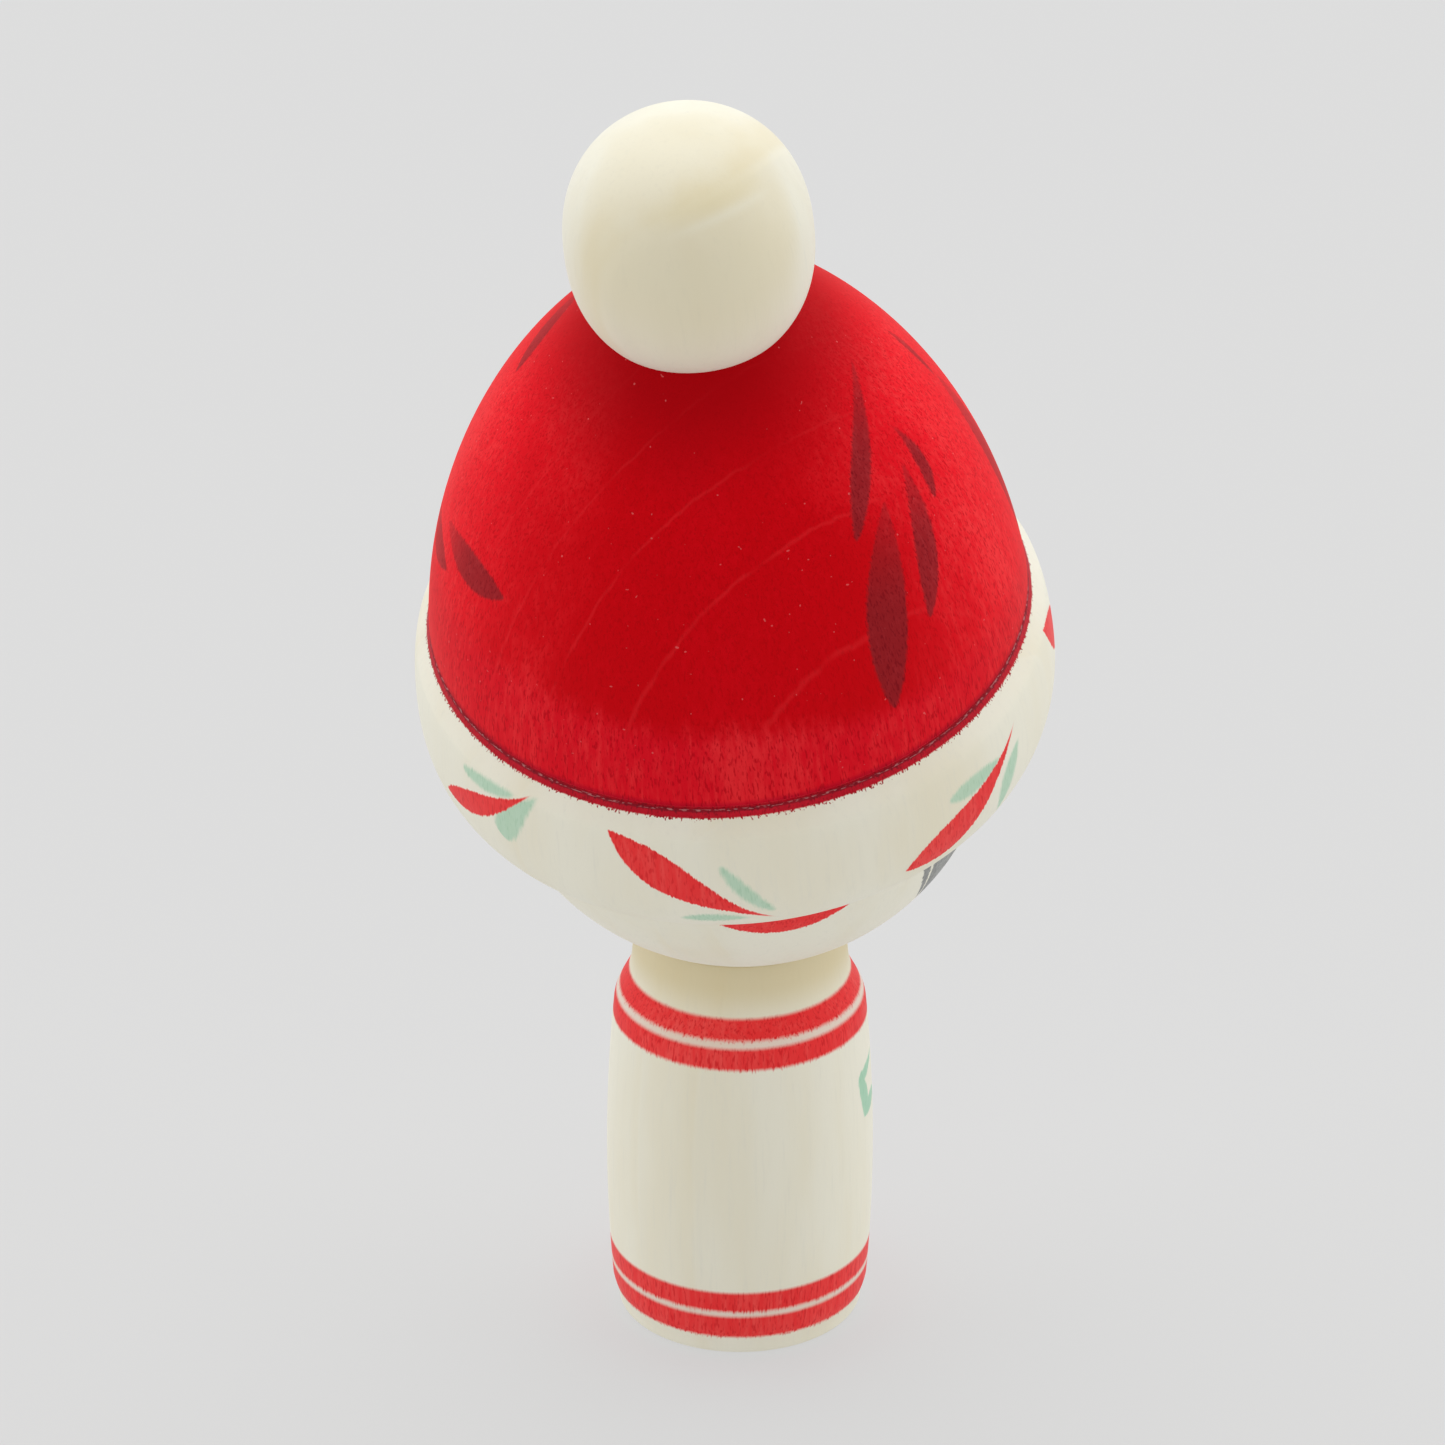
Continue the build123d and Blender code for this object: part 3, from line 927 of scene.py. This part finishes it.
def paintDome():
    wood = startHatWood("dyedDomeWood")
    tree, grain, up = wood["tree"], wood["grain"], wood["upDome"]
    # painted shade and sheen: the deep red is painted darker on two opposite sides, and lighter between
    # them as a painted sheen
    turned = calc(tree, "SUBTRACT", wood["turn"], math.radians(hat["shadedTurn"]))
    flat = calc(tree, "COSINE", calc(tree, "MULTIPLY", turned, 2.0))
    flat = calc(tree, "MULTIPLY_ADD", flat, hat["shadedSwing"], hat["shadedLevel"])
    flat = calc(tree, "MULTIPLY_ADD", grain["Tone"], hat["shadedTone"], flat)
    deep = mixColour(tree, smooth(tree, flat, *hat["sheenLitShare"]),
                     dyed(wood, "shadedDeepRed", mottle=0.5), dyed(wood, "sheenLitRed", mottle=0.8))
    # thinner, streaky dye in a band near the dome's foot, taller on one side
    turned = calc(tree, "SUBTRACT", wood["turn"], math.radians(hat["bandTurn"]))
    edge = calc(tree, "MULTIPLY_ADD", grain["Tone"], hat["bandTone"], hat["bandRise"])
    edge = calc(tree, "MULTIPLY_ADD", calc(tree, "COSINE", turned), hat["bandSway"], edge)
    edge = calc(tree, "MULTIPLY_ADD", grain["Streak"], hat["bandStreak"], edge)
    above = smooth(tree, calc(tree, "SUBTRACT", up, edge), *hat["bandEdge"])
    dome = mixColour(tree, above, dyed(wood, "thinRed", mottle=0.8), deep)
    # pale lines of years, in patches
    patchy = smooth(tree, noise(tree, wood["vector"], **hat["yearNoise"]), *hat["yearShare"])
    yearLine = calc(tree, "MULTIPLY", grain["Ring"], calc(tree, "MULTIPLY", patchy, hat["yearStrength"]))
    dome = mixColour(tree, yearLine, dome, paints["thinRed"][1])
    # painted shadow: a darker ring round where the bobble stands, for the shade under it
    crown = calc(tree, "MULTIPLY_ADD", grain["Tone"], hat["crownShadowTone"], up)
    pool = calc(tree, "MULTIPLY", smooth(tree, crown, *hat["crownShadowRise"]), hat["crownShadowStrength"])
    dome = mixColour(tree, pool, dome, hat["crownShadowColour"])
    # sparse flecks where the dye missed the wood
    fleck = smooth(tree, noise(tree, wood["vector"], **hat["fleckNoise"]), *hat["fleckShare"])
    fleck = calc(tree, "MULTIPLY", fleck, hat["fleckStrength"])
    dome = mixColour(tree, fleck, dome, hat["fleckColour"])
    pooled, zone = dyeEdge(wood)
    layOn(wood, wood["outside"], mixColour(tree, smooth(tree, up, *hat["footEdge"]), pooled, dome))
    brownMask = onOutside(wood, strokesMask(wood, hat["brownLeaves"], up, soft=0.4, fade=0.5))
    layOn(wood, brownMask, dyed(wood, "brown", mottle=0.8), strength=0.8)
    shader = wood["shader"]
    shader.inputs["Specular IOR Level"].default_value = hat["domeSpecular"]
    shader.inputs["Sheen Weight"].default_value = hat["domeSheen"]
    shader.inputs["Sheen Roughness"].default_value = hat["domeSheenRoughness"]
    shader.inputs["Sheen Tint"].default_value = hat["domeSheenTint"]
    return finishWood(wood)


turnedHat = turnOnLathe("turnedHat", hatOutline(), headCentre, hatTilt, hat["steps"])
turnedHat.data.materials.append(paintBrim())
turnedHat.data.materials.append(paintDome())
# the dome takes its own finish from the crease upwards, outside the hollow
toHat = Matrix.Rotation(hatTilt, 4, "X") @ Matrix.Translation((0, 0, -headCentre * mm))
for face in turnedHat.data.polygons:
    place = toHat @ face.center / mm
    if place.z > hat["creaseRise"] and place.length > hat["hollowRadius"] + hat["outerWall"]:
        face.material_index = 1
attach(turnedHat, "hat")
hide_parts("hat")
print("hat turned and painted")


# the bobble is bare wood, and a dowel holds it to the crown

bobble = {
    "radius": (bobbleHigh.x - bobbleLow.x) / 2 / mm,
    "halfHeight": 11.55,
    "squareness": 2.34,
    "steps": 160,
    "arcSteps": 60,
    "pith": (6.4, -4.4),
    "ringGap": 14.2,
    "years": 0.3,
    # a patch of painted shade and two of other wood in it, each a stroke with its softness, colour and
    # strength
    "patches": [
        # painted shade: a broad warm, darker patch over the middle of the side at turn 200
        ((200, 60.0, 24.0, 17.0, 0, 0, 0.5, 0.5), 12.0, colour(228, 214, 174), 0.5),
        ((214, 65.0, 14.0, 1.6, 3, 0.8, 0.9, 0.7), 2.0, colour(226, 210, 158), 0.42),
        ((222, 64.1, 12.0, 0.6, 3, 0.8, 0.9, 0.7), 0.7, creamWood["pale"], 0.45),
    ],
}
dowel = {"pith": (9.0, 2.0), "ringGap": 1.6, "years": 0.5}


def bobbleOutline():
    b, power = bobble, 2 / bobble["squareness"]
    flat = math.acos((hat["crownRadius"] / b["radius"]) ** (1 / power))
    middle = hat["crownRise"] + b["halfHeight"] * math.sin(flat) ** power
    holeTop = hat["crownRise"] + hat["holeDepth"]
    outline = [(0, holeTop), (hat["dowelHole"], holeTop), (hat["dowelHole"], hat["crownRise"])]
    for i in range(b["arcSteps"] + 1):
        angle = -flat + (math.pi / 2 + flat) * i / b["arcSteps"]
        lift = math.copysign(b["halfHeight"] * abs(math.sin(angle)) ** power, angle)
        outline.append((b["radius"] * max(math.cos(angle), 0) ** power, middle + lift))
    outline[-1] = (0, middle + b["halfHeight"])  # closed on the axis
    return outline


def bareBobble():
    # one broad year crosses the bobble, and a patch of painted shade makes its middle warmer and darker on
    # one side
    wood = startWood("bareBobbleWood", headCentre, hatTilt, bobble)
    for stroke, soft, paint, strength in bobble["patches"]:
        layOn(wood, strokesMask(wood, [stroke], soft=soft), paint, strength=strength)
    return finishWood(wood)


turnedBobble = turnOnLathe("turnedBobble", bobbleOutline(), headCentre, hatTilt, bobble["steps"])
turnedBobble.data.materials.append(bareBobble())
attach(turnedBobble, "hat")
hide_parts("bobble")

dowelNode = frame["nodes"]["bobble_dowel"]
dowelNode.data.materials.clear()
dowelNode.data.materials.append(finishWood(startWood("dowelWood", headCentre, hatTilt, dowel)))
print("bobble turned")


# the studio: a pale floor, wide soft lamps all round and the camera

white = (1, 1, 1)
studio = {
    "floorSize": 30.0,
    "floorColour": colour(122, 122, 122),
    "floorGlow": 0.5,
    "skyStrength": 0.46,
    "lamps": {
        "leftLamp": {"azimuth": 98, "elevation": 12, "strength": 1.05, "spread": 70, "tint": white},
        "rightLamp": {"azimuth": 295, "elevation": 12, "strength": 1.05, "spread": 70, "tint": white},
        "backLamp": {"azimuth": 16, "elevation": 62, "strength": 1.75, "spread": 80, "tint": white},
        "frontLamp": {"azimuth": 197, "elevation": 6, "strength": 0.5, "spread": 90,
                      "tint": (1, 0.97, 0.86)},
    },
}
camera = {
    "azimuth": 196.5,
    "elevation": 28.38,
    "distance": 1.10924,
    "lens": 311.2,
    "aim": (1.511, 0.448, 58.88),
}


def wayTo(azimuth, elevation):
    # unit vector towards a place in the studio, azimuth measured from the face side
    a, e = math.radians(azimuth), math.radians(elevation)
    return Vector((math.sin(a) * math.cos(e), -math.cos(a) * math.cos(e), math.sin(e)))


deselectAll()
bpy.ops.mesh.primitive_plane_add(size=studio["floorSize"], location=(0, 0, 0))
floor = bpy.context.object
floor.name = "studioFloor"
floorPaper = bpy.data.materials.new("palePaper")
floorPaper.use_nodes = True
floorShader = floorPaper.node_tree.nodes["Principled BSDF"].inputs
floorShader["Base Color"].default_value = studio["floorColour"]
floorShader["Roughness"].default_value = 1.0
floorShader["Specular IOR Level"].default_value = 0.0
floorShader["Emission Color"].default_value = (*white, 1)
floorShader["Emission Strength"].default_value = studio["floorGlow"]
floor.data.materials.append(floorPaper)

sky = bpy.data.worlds.new("softSky")
bpy.context.scene.world = sky
sky.use_nodes = True
skyLight = sky.node_tree.nodes["Background"].inputs
skyLight["Color"].default_value = (*white, 1)
skyLight["Strength"].default_value = studio["skyStrength"]
for name, lamp in studio["lamps"].items():
    way = wayTo(lamp["azimuth"], lamp["elevation"])
    deselectAll()
    bpy.ops.object.light_add(type="SUN", location=way, rotation=way.to_track_quat("Z", "Y").to_euler())
    bpy.context.object.name = name
    bpy.context.object.data.energy = lamp["strength"]
    bpy.context.object.data.color = lamp["tint"]
    bpy.context.object.data.angle = math.radians(lamp["spread"])

back = wayTo(camera["azimuth"], camera["elevation"])
eye = Vector(camera["aim"]) * mm + back * camera["distance"]
deselectAll()
bpy.ops.object.camera_add(location=eye, rotation=back.to_track_quat("Z", "Y").to_euler())
bpy.context.object.data.lens = camera["lens"]
bpy.context.scene.camera = bpy.context.object
bpy.context.scene.view_settings.view_transform = "Standard"
print("studio set")
